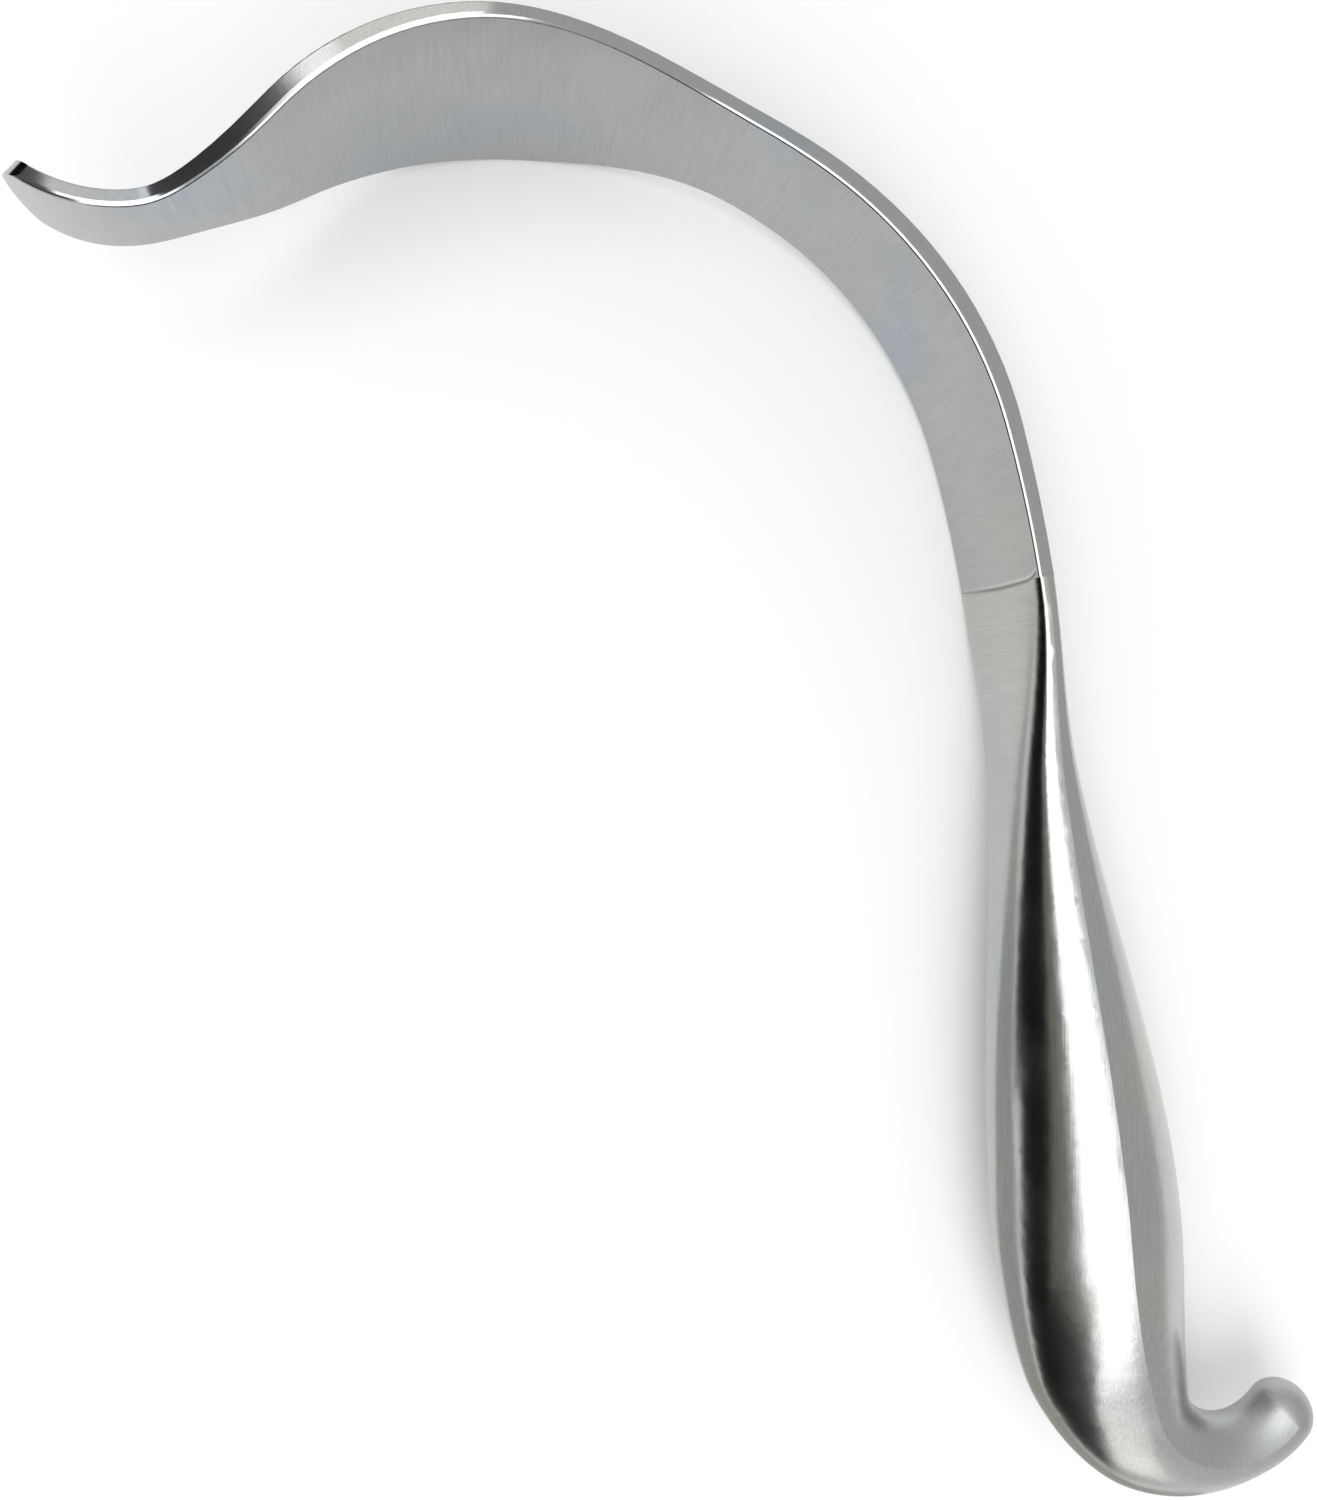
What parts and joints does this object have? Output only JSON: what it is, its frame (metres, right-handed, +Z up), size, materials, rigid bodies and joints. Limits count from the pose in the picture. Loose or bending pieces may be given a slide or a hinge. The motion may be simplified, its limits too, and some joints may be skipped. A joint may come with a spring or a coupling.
{
  "type": "handheld surgical retractor",
  "caption": "Curved sheet steel surgical retractor: a blade that bends over into a broad hood and a narrow upturned tip, on a hollow oval grip that ends in a finger hook.",
  "frame": {"origin": "centre of the underside of the bounding box of the tool as it lies on a table", "axes": "+Y from the hook of the grip towards the hood, +X from the tip of the blade towards the grip, +Z up, across the tool, which leans by about 6 degrees on the edge of its hood, the edge of its neck and the side of its grip"},
  "size_m": [0.1962, 0.2154, 0.0428],
  "materials": {
    "satin_steel": "satin brushed stainless steel"
  },
  "bodies": {
    "root": {"blade": "satin_steel", "grip_inner_shell": "satin_steel", "grip_outer_shell": "satin_steel"}
  },
  "joints": []
}
